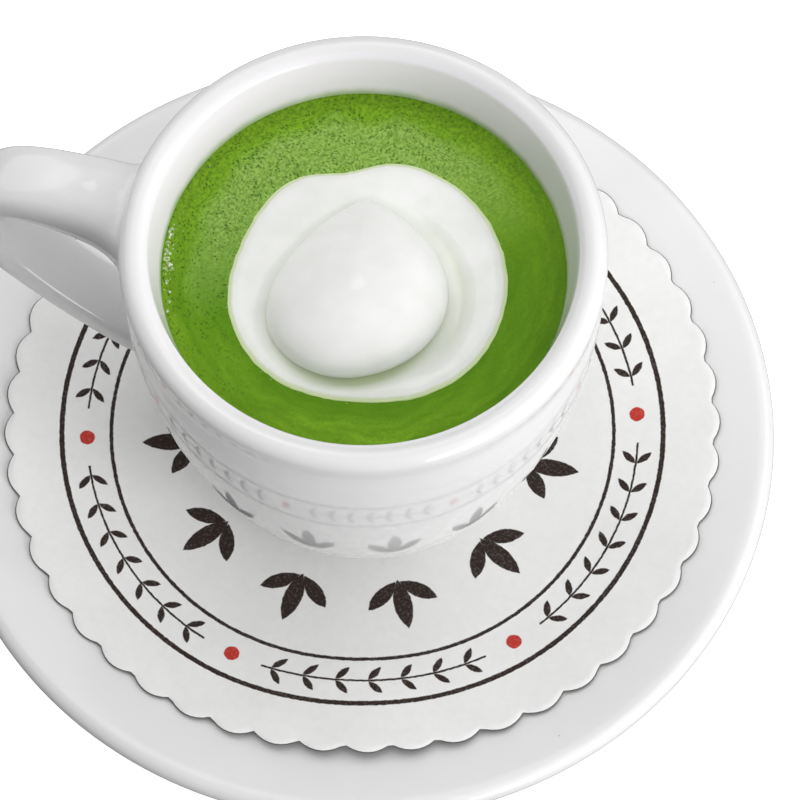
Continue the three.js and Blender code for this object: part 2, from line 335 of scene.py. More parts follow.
def make_doily(paper):
    """A sheet of pressed tissue, soft and thick under the cup and thin at its cut edge, which stands a little
    off the saucer. At the front it has buckled and stands higher, and its shadow shows under it."""
    slope_steps, points_per_scallop = 28, 8
    slope_length = DOILY_RADIUS - SAUCER_SEAT_RADIUS
    rows = [12, 20, 26, SAUCER_SEAT_RADIUS]
    rows += [SAUCER_SEAT_RADIUS + slope_length * i / slope_steps for i in range(1, slope_steps + 1)]
    under = [(0, 0)] + [(radius, 0) for radius in rows]
    over = [(radius, 1) for radius in reversed(rows)] + [(0, 1)]
    mesh = spun(under + over, DOILY_SCALLOPS * points_per_scallop)
    # The underside is marked, and near the edge it is drawn out past the top, so that a strip of it shows.
    # That strip is painted dark grey as the shadow under the lifted edge.
    cut = mesh.verts.layers.float.new("cut")
    rim_start = 64.0
    shadow_strip_width = 0.26  # drawn wide enough to show
    top, thinner, underside, edge_gap = 0.89, 0.2, 0.06, 0.4
    for vertex in mesh.verts:
        is_top = vertex.co.z > 0.5
        radius = vertex.co.xy.length
        angle = math.atan2(vertex.co.y, vertex.co.x)
        reach = max(0.0, radius - rim_start) / (DOILY_RADIUS - rim_start)
        radius -= reach * (DOILY_RADIUS - doily_edge(angle))
        if not is_top:
            radius += shadow_strip_width * reach
            vertex[cut] = 1.0
        x, y = radius * math.cos(angle) + DOILY_CENTRE[0], radius * math.sin(angle) + DOILY_CENTRE[1]
        free = soft_step(radius, 36, 64)
        edge = soft_step(radius, 58, 69)
        rough = 0.16 * noise.noise(Vector((x / 11, y / 11, 3.1)))
        rough += 0.05 * noise.noise(Vector((x / 3, y / 3, 7)))
        lifted = 0.12 + 0.12 * noise.noise(Vector((x / 16, y / 16, 9.4)))
        buckle = 1.7 * bump(angle, BUCKLE_DIRECTION, math.radians(21), 2) * soft_step(radius, 28, 58)
        if is_top:
            lift = top - thinner * free + edge * lifted
        else:
            lift = underside + edge * (edge_gap + lifted)
        lift += buckle + free * rough * (1 if is_top else edge)
        vertex.co = (x, y, saucer_top(math.hypot(x, y)) + lift)
    bmesh.ops.recalc_face_normals(mesh, faces=mesh.faces)
    piece = finished(mesh, "doily_paper", paper)
    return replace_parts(piece, "doily")


def printed_tissue_paper():
    """Pressed tissue coaster: soft fibres and shallow dimples, printed in one dark and one red ink that
    cover unevenly, as ink does on soft paper. Fibres and dimples are drawn coarser than real ones, so as to
    show."""
    material, tree, shader, place = new_material("printed_tissue_paper", DOILY_CENTRE)

    # The print's place is shifted a little at random, which makes its edges ragged.
    ragged = add(tree, "TexNoise", {"Vector": place, "Scale": 1 / 0.9, "Detail": 3.0})
    shift = add(tree, "VectorMath", (ragged.outputs["Color"], (0.5, 0.5, 0.5)), operation="SUBTRACT")
    shift = add(tree, "VectorMath", {0: shift, "Scale": 0.34}, operation="SCALE")
    spot = add(tree, "VectorMath", (place, shift), operation="ADD")
    flat = add(tree, "SeparateXYZ", {"Vector": spot})
    flat_spot = add(tree, "CombineXYZ", {"X": flat.outputs["X"], "Y": flat.outputs["Y"]})
    radius = add(tree, "VectorMath", (flat_spot,), operation="LENGTH").outputs["Value"]
    angle = add(tree, "Math", (flat.outputs["Y"], flat.outputs["X"]), operation="ARCTAN2")

    def stripe(distance, half_width):
        """1 where the distance from a middle line is under the half width, with a soft edge."""
        size = add(tree, "Math", (distance,), operation="ABSOLUTE")
        return add(tree, "MapRange", {
            "Value": size, "From Min": half_width - 0.07, "From Max": half_width + 0.07,
            "To Min": 1.0, "To Max": 0.0,
        })

    def from_ring(ring_radius):
        return add(tree, "Math", (radius, ring_radius), operation="SUBTRACT")

    def round_the_ring(count, offset=0.0):
        """Distance along the ring from the middle of the nearest of a number of equal parts."""
        turn = add(tree, "Math", (angle, count / math.tau, offset), operation="MULTIPLY_ADD")
        share = add(tree, "Math", (turn,), operation="FRACT")
        centred = add(tree, "Math", (share, 0.5), operation="SUBTRACT")
        arc_length = add(tree, "Math", (radius, math.tau / count), operation="MULTIPLY")
        return add(tree, "Math", (centred, arc_length), operation="MULTIPLY")

    def leaf(along, out, length, width, lean, root):
        """A pointed leaf that starts at a place on the ring's radius and leans to one side."""
        round_radius = (length ** 2 + width ** 2) / (4 * width)
        towards = (math.sin(lean), math.cos(lean))
        middle = (root[0] + towards[0] * length / 2, root[1] + towards[1] * length / 2)
        x = add(tree, "Math", (along, middle[0]), operation="SUBTRACT")
        y = add(tree, "Math", (out, middle[1]), operation="SUBTRACT")
        spot_on_leaf = add(tree, "CombineXYZ", {"X": x, "Y": y})
        lengthwise = add(tree, "VectorMath", (spot_on_leaf, (*towards, 0)), operation="DOT_PRODUCT")
        sideways = (towards[1], -towards[0], 0)
        across = add(tree, "VectorMath", (spot_on_leaf, sideways), operation="DOT_PRODUCT")
        aside = add(tree, "Math", (across.outputs["Value"],), operation="ABSOLUTE")
        aside = add(tree, "Math", (aside, round_radius - width / 2), operation="ADD")
        reach = add(tree, "CombineXYZ", {"X": aside, "Y": lengthwise.outputs["Value"]})
        reach = add(tree, "VectorMath", (reach,), operation="LENGTH").outputs["Value"]
        return add(tree, "MapRange", {
            "Value": reach, "From Min": round_radius - 0.08, "From Max": round_radius + 0.08,
            "To Min": 1.0, "To Max": 0.0,
        })

    def together(*masks):
        whole = masks[0]
        for mask in masks[1:]:
            whole = add(tree, "Math", (whole, mask), operation="MAXIMUM")
        return whole

    outer_ring, band_middle, inner_ring = 59.25, 54.3, 49.6
    rings = together(stripe(from_ring(outer_ring), 0.5), stripe(from_ring(inner_ring), 0.37))

    # The garland is a stem with a pair of leaves in each of its cells. It stops short of the dots, which
    # stand between two cells, nine cells apart.
    cells, cells_per_dot = 54, 9
    leaf_length, leaf_width, leaf_lean = 3.7, 1.35, 0.75
    along, out = round_the_ring(cells), from_ring(band_middle)
    garland = together(
        leaf(along, out, leaf_length, leaf_width, leaf_lean, (-1.2, 0.15)),
        leaf(along, out, leaf_length, leaf_width, math.pi - leaf_lean, (-1.2, -0.15)),
        stripe(out, 0.22),
    )
    dot_radius, half_gap = 1.5, 6.2
    dot_along = round_the_ring(cells / cells_per_dot, 1.5 / cells_per_dot)
    near_dot = stripe(dot_along, half_gap)
    garland = add(tree, "Math", (garland, near_dot), operation="SUBTRACT", use_clamp=True)
    dot_spot = add(tree, "CombineXYZ", {"X": dot_along, "Y": out})
    dot_reach = add(tree, "VectorMath", (dot_spot,), operation="LENGTH").outputs["Value"]
    dots = stripe(dot_reach, dot_radius)

    sprig_count, sprig_ring = 11, 37.6
    along, out = round_the_ring(sprig_count, 0.35), from_ring(sprig_ring)
    sprigs = together(
        leaf(along, out, 11.0, 3.6, 0.0, (0, -5.0)),
        leaf(along, out, 8.6, 2.9, 0.85, (0.4, -4.6)),
        leaf(along, out, 8.6, 2.9, -0.85, (-0.4, -4.6)),
    )
    dark = together(rings, garland, sprigs)
    patchy = add(tree, "TexNoise", {"Vector": place, "Scale": 1 / 0.55, "Detail": 4.0})
    cover = add(tree, "MapRange", {"Value": patchy, "From Min": 0.3, "From Max": 0.5, "To Min": 0.94})
    dark = add(tree, "Math", (dark, cover), operation="MULTIPLY")
    dots = add(tree, "Math", (dots, cover), operation="MULTIPLY")

    fibre = add(tree, "TexNoise", {"Vector": place, "Scale": 1 / 1.6, "Detail": 6.0, "Roughness": 0.62})
    blotch = add(tree, "TexNoise", {"Vector": place, "Scale": 1 / 14, "Detail": 2.0})
    tone = add(tree, "MixRGB", {"Fac": 0.5, "Color1": fibre, "Color2": blotch})
    tone = add(tree, "MapRange", {"Value": tone, "From Min": 0.35, "From Max": 0.65})
    paper = add(tree, "MixRGB", {"Fac": tone, "Color1": linear("#f3f3f2"), "Color2": linear("#f9f9f8")})
    inked = add(tree, "MixRGB", {"Fac": dark, "Color1": paper, "Color2": linear("#30241f")})
    colour = add(tree, "MixRGB", {"Fac": dots, "Color1": inked, "Color2": linear("#c4392f")})
    # Painted shadow: the strip of underside at the cut edge is dark grey, for the shade under the lifted
    # paper.
    cut = add(tree, "Attribute", attribute_name="cut").outputs["Fac"]
    cut = add(tree, "MapRange", {"Value": cut, "From Min": 0.1, "From Max": 0.35})
    colour = add(tree, "MixRGB", {"Fac": cut, "Color1": colour, "Color2": linear("#565553")})
    dimples = add(
        tree, "TexVoronoi", {"Vector": place, "Scale": 1 / 1.8, "Randomness": 0.85}, feature="SMOOTH_F1",
    )
    height = add(tree, "MixRGB", {"Fac": 0.45, "Color1": fibre, "Color2": dimples})
    relief = add(tree, "Bump", {"Height": height, "Strength": 0.5, "Distance": 0.0003})
    set_shader(
        tree, shader, Base_Color=colour, Roughness=0.88, Normal=relief, IOR=1.45, Sheen_Weight=0.15,
        Specular_IOR_Level=0.25,
    )
    return material


# Cup


def cup_side(height):
    """Radius of the cup's outside at a height above its foot."""
    neck_depth, neck_height, neck_spread = 0.5, 73.2, 3.6
    below = max(0.0, 1 - height / (CUP_HEIGHT - LIP_ROUND))
    neck = neck_depth * math.exp(-((height - neck_height) / neck_spread) ** 2)
    return CUP_RADIUS - (CUP_RADIUS - CUP_FOOT_RADIUS) * below ** CUP_CURVE_POWER - neck


def cup_inside(steps):
    """The inside of the cup, from the lip's soft inner slope down to its floor."""
    stations = [
        (39.15, 79.2), (38.95, 78.7), (38.75, 77.9), (38.3, 75.8), (37.65, 72.6), (36.95, DRINK_LEVEL),
        (36.2, 64), (35.4, 56), (34.0, 42), (31.0, 27), (25.5, 14.5), (17.5, 8.3), (9.0, CUP_FLOOR),
    ]
    return smooth_line(stations, steps)


def make_cup(glaze):
    """Thrown body with a pulled strap handle. The body's wall is opened where the handle meets it, and the
    two are bridged and smoothed there, so that the glaze runs over them as one skin."""
    segments, lip_steps, inside_steps = 56, 7, 24
    foot_outer = CUP_FOOT_RADIUS - FOOT_BEVEL
    foot_inner = foot_outer - FOOT_RING_WIDTH
    heights = [2.4, 5, 8.6, 12.2, *LOWER_ROOT, 31, 36.5, 42, 47.5, 53.5, *UPPER_ROOT, 75.4]
    profile = [(radius, FOOT_RECESS) for radius in (0, 9, 17, foot_inner - FOOT_RECESS)]
    # The subdivision draws the foot ring in, so its points lie a little lower than the ring itself.
    profile += [(foot_inner, 0.1), (foot_inner + 0.9, -0.2)]
    profile += [(foot_outer - 0.4, -0.2), (foot_outer + 0.7, 0.6)]
    profile += [(cup_side(height), height) for height in heights]
    lip_centre = (CUP_RADIUS - LIP_ROUND, CUP_HEIGHT - LIP_ROUND)
    profile += arc(lip_centre, LIP_ROUND, 0, 130, lip_steps)
    profile += cup_inside(inside_steps)
    profile.append((0, CUP_FLOOR))
    mesh = spun(profile, segments)

    # Each opening is four faces wide and as tall as its root.
    half_window = 2 * math.tau / segments
    for low, *_, high in (UPPER_ROOT, LOWER_ROOT):
        opening = []
        for face in mesh.faces:
            middle = face.calc_center_median()
            off = abs(math.atan2(middle.y, -middle.x))
            outside = middle.xy.length > cup_side(middle.z) - 1.5
            if off < half_window and low < middle.z < high and outside:
                opening.append(face)
        bmesh.ops.delete(mesh, geom=opening, context="FACES")

    strap = handle_strap()
    copy = bpy.data.meshes.new("strap")
    strap.to_mesh(copy)
    strap.free()
    mesh.from_mesh(copy)
    bpy.data.meshes.remove(copy)

    def middle_height(edge):
        return (edge.verts[0].co.z + edge.verts[1].co.z) / 2

    around_upper_root, around_lower_root = (50.0, 80.0), (5.0, 40.0)
    joined = set()
    for low, high in (around_upper_root, around_lower_root):
        edges = [e for e in mesh.edges if e.is_boundary and low < middle_height(e) < high]
        joined.update(vertex for edge in edges for vertex in edge.verts)
        bmesh.ops.bridge_loops(mesh, edges=edges)
    smooth_times, smooth_factor = 3, 0.4
    for _ in range(smooth_times):
        bmesh.ops.smooth_vert(
            mesh, verts=list(joined), factor=smooth_factor,
            use_axis_x=True, use_axis_y=True, use_axis_z=True,
        )
    bmesh.ops.recalc_face_normals(mesh, faces=mesh.faces)
    piece = finished(mesh, "cup_glazed", glaze, (*CUP_CENTRE, CUP_BASE))
    subdivided(piece, 2)
    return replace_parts(piece, "cup")


def handle_strap():
    """Open strap from just off the wall under the lip to just off the wall low on the cup. It narrows on its
    way down and flares at both ends."""
    # Middle line: distance from the cup's axis and height above its foot
    stations = [
        (47.6, 66.9), (52.0, 68.0), (64.0, 67.3), (72.0, 62.0), (73.0, 48.5), (63.3, 35.9),
        (50.5, 25.2), (41.2, 21.6),
    ]
    width, thickness = (14.5, 12.5), (9.5, 6.5)
    flare, flare_length, squareness = 0.22, 15.0, 0.7
    to_roots = (7.6, 9.5)  # how far the solid's strap runs on past each open end
    grow = 1.03  # the subdivision draws the section in again
    steps, section_points = 26, 14
    line = [Vector(p) for p in smooth_line(stations, LOOK_UP_STEPS)]
    lengths = [0.0]
    for here, after in zip(line, line[1:]):
        lengths.append(lengths[-1] + (after - here).length)
    mesh = spun([(1, i / steps) for i in range(steps + 1)], section_points)
    for vertex in mesh.verts:
        share = vertex.co.z
        target = share * lengths[-1]
        at = next(i for i, length in enumerate(lengths) if length >= target - 1e-6)
        middle = line[at]
        ahead = (line[min(at + 1, LOOK_UP_STEPS)] - line[max(at - 1, 0)]).normalized()
        across = Vector((-ahead.y, ahead.x))
        from_root = min(target + to_roots[0], lengths[-1] - target + to_roots[1])
        size = grow * (1 + flare * math.exp(-(from_root / flare_length) ** 2)) / 2
        squared = [math.copysign(abs(v) ** squareness, v) for v in (vertex.co.x, vertex.co.y)]
        up = size * (thickness[0] + (thickness[1] - thickness[0]) * share) * squared[0]
        side = size * (width[0] + (width[1] - width[0]) * share) * squared[1]
        spot = middle + across * up
        vertex.co = (-spot.x, side, spot.y)
    return mesh


# Drink and foam


def wall_radius(height):
    """Radius of the cup's inside at a height above its foot."""
    line = cup_inside(LOOK_UP_STEPS)
    below = next(i for i, (_, z) in enumerate(line) if z <= height)
    (r_over, z_over), (r_under, z_under) = line[below - 1], line[below]
    return r_under + (r_over - r_under) * (height - z_under) / (z_over - z_under)


def make_drink(surface):
    """The drink meets the wall in a small meniscus, and its side reaches just into the glaze. Its top is
    faintly rippled, and sinks where the foam lies on it."""
    into_wall, below_foam, ripple_height = 0.12, 0.75, 0.1
    segments, inside_steps = 160, 24
    wall = wall_radius(DRINK_LEVEL)
    meniscus, meniscus_top = ((1.5, 0.05), (0.8, 0.15), (0.3, 0.3)), DRINK_LEVEL + 0.45
    inside = cup_inside(inside_steps)
    profile = [(radius, DRINK_LEVEL) for radius in (0, 8, 14, *range(18, 35))]
    profile += [(wall - back, DRINK_LEVEL + rise) for back, rise in meniscus]
    profile.append((wall_radius(meniscus_top) + into_wall, meniscus_top))
    profile += [(radius + into_wall, height) for radius, height in inside if height < DRINK_LEVEL - 1]
    profile.append((0, CUP_FLOOR - into_wall))
    mesh = spun(profile, segments)
    for vertex in mesh.verts:
        if abs(vertex.co.z - DRINK_LEVEL) < 0.06:
            x, y = vertex.co.xy
            radius = vertex.co.xy.length
            under_foam = soft_step(foam_outline(math.atan2(y, x) - FOAM_TURN) - radius, 0.8, 2.0)
            ripple = ripple_height * (1 - under_foam) * noise.noise(Vector((x / 5, y / 5, 2.2)))
            vertex.co.z += ripple - below_foam * under_foam
    piece = finished(mesh, "matcha_drink", surface, (*CUP_CENTRE, CUP_BASE))
    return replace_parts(piece, "matcha")


def foam_outline(angle):
    """Outline of the pool of milk foam seen from above."""
    lean = 0.37 * math.cos(angle) - 2.2 * math.sin(angle)
    back_dent = 2.65 * bump(angle, 1.73, 0.33, 2)
    left_flat = 1.65 * bump(angle, 2.84, 0.5, 2)
    front_flat = 1.8 * bump(angle, -1.6, 0.5, 2)
    return FOAM_RADIUS + lean - back_dent - left_flat - front_flat


def dollop_outline(angle):
    """Outline of the dollop's foot: a slightly oval round, drawn out to a point at the back."""
    oval = 1.2 * math.cos(2 * (angle - 0.4))
    return DOLLOP_RADIUS + oval + DOLLOP_POINT * bump(angle, 1.5, 0.63, 1.26)


def outside_dollop(x, y):
    """How far a point of the pool lies outside the dollop's foot, and the direction it lies in."""
    aside, back = x - DOLLOP_CENTRE[0], y - DOLLOP_CENTRE[1]
    angle = math.atan2(back, aside)
    return math.hypot(aside, back) - dollop_outline(angle), angle


def make_foam(foam):
    """A pool of milk foam with a soft, faintly ragged edge. A trough runs round the dollop where it has
    pressed the foam down, widest on the right, and the tea shows through there and at the thin edge. Round
    the dollop, most at its front, and along the trough, the tea's tint is also painted shade."""
    # Section, as shares of the outline's radius and heights in millimetres
    segments, inner_steps, flat_from, underside = 192, 30, 0.92, -0.9
    side_depth = 0.3
    edge = [
        (1.0, -0.5), (1.008, -0.2), (1.006, 0.05), (0.996, 0.22), (0.982, 0.35), (0.965, 0.43),
        (0.945, 0.48),
    ]
    inner = [(flat_from - flat_from * i / inner_steps, FOAM_PROUD) for i in range(inner_steps + 1)]
    mesh = spun([(0, underside), (0.9, underside)] + edge + inner, segments)
    tea = mesh.verts.layers.float.new("tea")
    for vertex in mesh.verts:
        share, z = vertex.co.xy.length, vertex.co.z
        angle = math.atan2(vertex.co.y, vertex.co.x)
        ragged = 0.16 * noise.noise(Vector((9 * math.cos(angle), 9 * math.sin(angle), 5)))
        ragged += 0.09 * noise.noise(Vector((26 * math.cos(angle), 26 * math.sin(angle), 1)))
        reach = share * (foam_outline(angle) + ragged * soft_step(share, 0.8, 1))
        x, y = reach * math.cos(angle), reach * math.sin(angle)
        off, way = outside_dollop(x, y)
        front = bump(way, -1.45, 0.95, 2)
        trough = (0.3 + 0.45 * front) * math.exp(-((off - 0.3) / 1.1) ** 2)
        side_trough = side_depth * math.exp(-((off - 2.6) / 1.4) ** 2) * bump(way, 0.1, 0.85, 4)
        if z > 0.3:
            z += 0.1 * noise.noise(Vector((x / 7, y / 7, 0.4))) - 0.04 - trough - side_trough
        thin_edge = soft_step(share, 0.968, 1.0)
        # Painted shade: the tint round the dollop, strongest at its front, stands for its shadow as well as
        # tea seen through the foam; the trough's tint is painted shade.
        shade = math.exp(-(max(0.0, off) / 1.3) ** 2)
        tea_and_painted_shade = 0.5 * shade * (0.25 + 0.75 * front) + 0.12 * front * math.exp(-(off / 4.5) ** 2)
        vertex[tea] = max(thin_edge, tea_and_painted_shade, 0.2 * side_trough / side_depth)
        vertex.co = (x, y, z)
    bmesh.ops.rotate(mesh, verts=mesh.verts, cent=(0, 0, 0), matrix=Matrix.Rotation(FOAM_TURN, 3, "Z"))
    piece = finished(mesh, "milk_foam_pool", foam, (*CUP_CENTRE, CUP_BASE + DRINK_LEVEL))
    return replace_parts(piece, "milk_foam")


def make_dollop(foam):
    """A spoonful of stiffer foam. It bulges over its foot, but for the left, where it has run out into the
    pool, and a soft ridge runs up from its point."""
    # Section, as shares of the outline's radius and of the height, or millimetres below the foot
    segments, bulge, sunk = 144, 0.2, 0.3
    profile = [(0.0, -0.8), (0.9, -0.8), (0.935, -0.3)]
    for degrees in (10, 25, 40, 55, 70, 85):
        profile.append((0.955 + 0.045 * math.sin(math.radians(degrees)), bulge * degrees / 90 - 0.02))
    for degrees in range(0, 90, 3):
        turn = math.radians(degrees)
        profile.append((math.cos(turn), bulge + (1 - bulge) * math.sin(turn)))
    profile.append((0, 1))
    mesh = spun(profile, segments)
    tea = mesh.verts.layers.float.new("tea")
    for vertex in mesh.verts:
        angle = math.atan2(vertex.co.y, vertex.co.x)
        share, z = vertex.co.xy.length, vertex.co.z
        skirt = 0.075 * bump(angle, 2.9, 0.95, 4) * max(0.0, 1 - max(z, 0.0) / 0.34) ** 2
        reach = share * dollop_outline(angle) * (1 + skirt)
        x, y = reach * math.cos(angle), reach * math.sin(angle)
        # Painted shade: the green-grey at the foot, strongest at the front, stands for the shadow under the
        # bulge as well as tea seen through the thin foam.
        front = 0.25 + 0.75 * bump(angle, -1.45, 0.95, 2)
        vertex[tea] = 0.62 * front * (1 - soft_step(z, -0.05, 0.26)) if share > 0.5 and z < 0.5 else 0.0
        height = DOLLOP_HEIGHT * z if z > 0 else z
        vertex.co = (DOLLOP_CENTRE[0] + x, DOLLOP_CENTRE[1] + y, FOAM_PROUD - sunk + height)
    bmesh.ops.rotate(mesh, verts=mesh.verts, cent=(0, 0, 0), matrix=Matrix.Rotation(FOAM_TURN, 3, "Z"))
    piece = finished(mesh, "foam_dollop_spooned", foam, (*CUP_CENTRE, CUP_BASE + DRINK_LEVEL))
    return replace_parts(piece, "foam_dollop")


def make_bubbles(skin):
    """Small bubbles that sit half sunk in the drink: a cluster against the wall by the handle, finer ones
    strewn along the wall, and the finest along the foam's edge."""
    draw = random.Random(11)
    one = bmesh.new()
    bmesh.ops.create_icosphere(one, subdivisions=2, radius=1)
    ball = bpy.data.meshes.new("ball")
    one.to_mesh(ball)
    one.free()
    mesh = bmesh.new()
    wall = wall_radius(DRINK_LEVEL)

    def blow(angle, radius, size):
        spot = (radius * math.cos(angle), radius * math.sin(angle), DRINK_LEVEL + 0.1 * size)
        bubble = ball.copy()
        bubble.transform(Matrix.Translation(spot) @ Matrix.Scale(size, 4))
        mesh.from_mesh(bubble)
        bpy.data.meshes.remove(bubble)

    def blow_along_wall(count, direction, spread, sizes, off_wall):
        for _ in range(count):
            angle = math.radians(draw.gauss(direction, spread))
            size = draw.uniform(*sizes)
            blow(angle, wall - size - abs(draw.gauss(off_wall, 0.7)), size)

    blow_along_wall(70, 192, 5.5, (0.14, 0.42), 0.1)
    blow_along_wall(110, 190, 14, (0.07, 0.16), 0)
    foam_edge_count = 60
    for _ in range(foam_edge_count):
        angle = math.radians(draw.gauss(150, 40))
        size = draw.uniform(0.05, 0.1)
        blow(angle + FOAM_TURN, foam_outline(angle) + size + abs(draw.gauss(0.05, 0.4)), size)
    return finished(mesh, "tea_bubbles", skin, (*CUP_CENTRE, CUP_BASE))


def whisked_matcha():
    """Whisked powdered green tea in milk. Towards the foam it carries a paler froth of bubbles too fine to
    part with the eye, pricked with burst ones that look dark, and the whisk has left faint rings in it.
    Grains and burst bubbles are drawn coarser than real ones, so as to show."""
    material, tree, shader, place = new_material("whisked_matcha", CUP_CENTRE)
    flat = add(tree, "VectorMath", (place, (1, 1, 0)), operation="MULTIPLY")
    radius = add(tree, "VectorMath", (flat,), operation="LENGTH").outputs["Value"]
    around = add(tree, "VectorMath", (flat,), operation="NORMALIZE")

    # The rings wander in and out, so that their radius reads as larger than it is, by about half of this.
    ring_wander = 7.0
    swirl = add(tree, "TexNoise", {"Vector": place, "Scale": 1 / 11, "Detail": 2.0})
    wander = add(tree, "Math", (swirl, ring_wander, radius), operation="MULTIPLY_ADD")

    def round_place(turns, ring_width):
        """Coordinates that run round the cup one way and across the rings the other."""
        track = add(tree, "VectorMath", {0: around, "Scale": turns}, operation="SCALE")
        depth = add(tree, "Math", (wander, 1 / ring_width), operation="MULTIPLY")
        return add(tree, "VectorMath", (track, add(tree, "CombineXYZ", {"Z": depth})), operation="ADD")

    def side(x, y, start, end):
        """0 to 1 as the surface lies further towards one side of the cup."""
        towards = add(tree, "VectorMath", (around, (x, y, 0)), operation="DOT_PRODUCT").outputs["Value"]
        return add(tree, "MapRange", {"Value": towards, "From Min": start, "From Max": end})

    rings = add(tree, "TexNoise", {"Vector": round_place(4.2, 1.5), "Scale": 1.0, "Detail": 3.0})
    ring_tone = add(tree, "MapRange", {"Value": rings, "From Min": 0.3, "From Max": 0.7})
    tea = add(tree, "MixRGB", {"Fac": ring_tone, "Color1": linear("#5a8601"), "Color2": linear("#79a61d")})

    # Painted light: the tea is lighter towards the back.
    back = add(tree, "Math", (side(-0.3, 0.95, -0.2, 0.7), 0.7), operation="MULTIPLY")
    tea = add(tree, "MixRGB", {"Fac": back, "Color1": tea, "Color2": linear("#86b524")})

    # Darker towards the foam, less so at the back, and darker on the right and at the left front. By the left
    # wall the tea is lighter.
    inward = add(tree, "MapRange", {"Value": wander, "From Min": 37.0, "From Max": 31.0})
    darker_tone = add(tree, "Math", (inward, side(0.3, -0.95, -0.9, 0.1)), operation="MULTIPLY")
    right = add(tree, "Math", (side(0.98, -0.1, 0.55, 0.95), 0.75), operation="MULTIPLY")
    left_front = add(tree, "Math", (side(-0.68, -0.73, 0.6, 1.0), 0.6), operation="MULTIPLY")
    darker_tone = add(tree, "Math", (darker_tone, right), operation="MAXIMUM")
    darker_tone = add(tree, "Math", (darker_tone, left_front), operation="MAXIMUM")
    darker_tone = add(tree, "Math", (darker_tone, 0.8), operation="MULTIPLY")
    tea = add(tree, "MixRGB", {"Fac": darker_tone, "Color1": tea, "Color2": linear("#538300")})
    outward = add(tree, "MapRange", {"Value": wander, "From Min": 37.0, "From Max": 39.5})
    lighter_tone = add(tree, "Math", (outward, side(-1.0, 0.0, -0.1, 0.7)), operation="MULTIPLY")
    lighter_tone = add(tree, "Math", (lighter_tone, 0.55), operation="MULTIPLY")
    tea = add(tree, "MixRGB", {"Fac": lighter_tone, "Color1": tea, "Color2": linear("#83ad22")})

    # The froth lies between the foam and the outer rings of tea, on the side away from the front.
    inner_side = add(tree, "MapRange", {"Value": wander, "From Min": 36.5, "From Max": 33.5})
    facing = side(-0.55, 0.84, -0.05, 0.65)
    froth = add(tree, "Math", (inner_side, facing), operation="MULTIPLY")
    cloudy = add(tree, "TexNoise", {"Vector": place, "Scale": 1 / 2.0, "Detail": 6.0, "Roughness": 0.7})
    cloudy = add(tree, "MapRange", {"Value": cloudy, "From Min": 0.2, "From Max": 0.7, "To Min": 0.35})
    froth = add(tree, "Math", (froth, cloudy), operation="MULTIPLY")
    tea = add(tree, "MixRGB", {"Fac": froth, "Color1": tea, "Color2": linear("#9bbd60")})

    # Grains of powder and burst bubbles lie along the rings.
    grain = add(tree, "TexNoise", {"Vector": round_place(52.0, 0.5), "Scale": 1.0, "Detail": 3.0})
    grain = add(tree, "MapRange", {
        "Value": grain, "From Min": 0.36, "From Max": 0.62, "To Min": 0.66, "To Max": 0.0,
    })
    where_grain = add(tree, "MapRange", {"Value": facing, "To Min": 0.45})
    shown_grain = add(tree, "Math", (grain, where_grain), operation="MULTIPLY")
    tea = add(tree, "MixRGB", {"Fac": shown_grain, "Color1": tea, "Color2": linear("#4a7a12")})
    cells = add(tree, "TexVoronoi", {"Vector": round_place(45.0, 0.62), "Scale": 1.0})
    pits = add(tree, "MapRange", {
        "Value": cells, "From Min": 0.18, "From Max": 0.44, "To Min": 1.0, "To Max": 0.0,
    })
    pricked = add(tree, "TexNoise", {"Vector": round_place(9.0, 1.2), "Scale": 1.0, "Detail": 3.0})
    pricked = add(tree, "MapRange", {"Value": pricked, "From Min": 0.38, "From Max": 0.56})
    back_left = side(-0.85, 0.53, -0.3, 0.5)
    where_pits = add(tree, "MapRange", {"Value": back_left, "To Min": 0.2, "To Max": 0.9})
    pits = add(tree, "Math", (pits, pricked), operation="MULTIPLY")
    pits = add(tree, "Math", (pits, where_pits), operation="MULTIPLY")
    colour = add(tree, "MixRGB", {"Fac": pits, "Color1": tea, "Color2": linear("#2f5a04")})

    height = add(tree, "Math", (pits, -1.0, grain), operation="MULTIPLY_ADD")
    relief = add(tree, "Bump", {"Height": height, "Strength": 0.35, "Distance": 0.00015})
    set_shader(
        tree, shader, Base_Color=colour, Roughness=0.42, Normal=relief, IOR=1.34, Specular_IOR_Level=0.2,
    )
    return material


def bubble_skin():
    """Thin wet film round air: partly clear and with a sharp glint, mottled from the tea's green to near
    white, the white a painted glint.
    """
    material, tree, shader, place = new_material("tea_bubble_film")
    # Painted highlight: the near-white patches stand for glints on the bubbles.
    painted_glint = add(tree, "TexNoise", {"Vector": place, "Scale": 1 / 0.5})
    painted_glint = add(tree, "MapRange", {"Value": painted_glint, "From Min": 0.42, "From Max": 0.6})
    colour = add(tree, "MixRGB", {"Fac": painted_glint, "Color1": linear("#9cc252"), "Color2": linear("#fdfff4")})
    set_shader(tree, shader, Base_Color=colour, Roughness=0.04, IOR=1.33, Transmission_Weight=0.3)
    return material


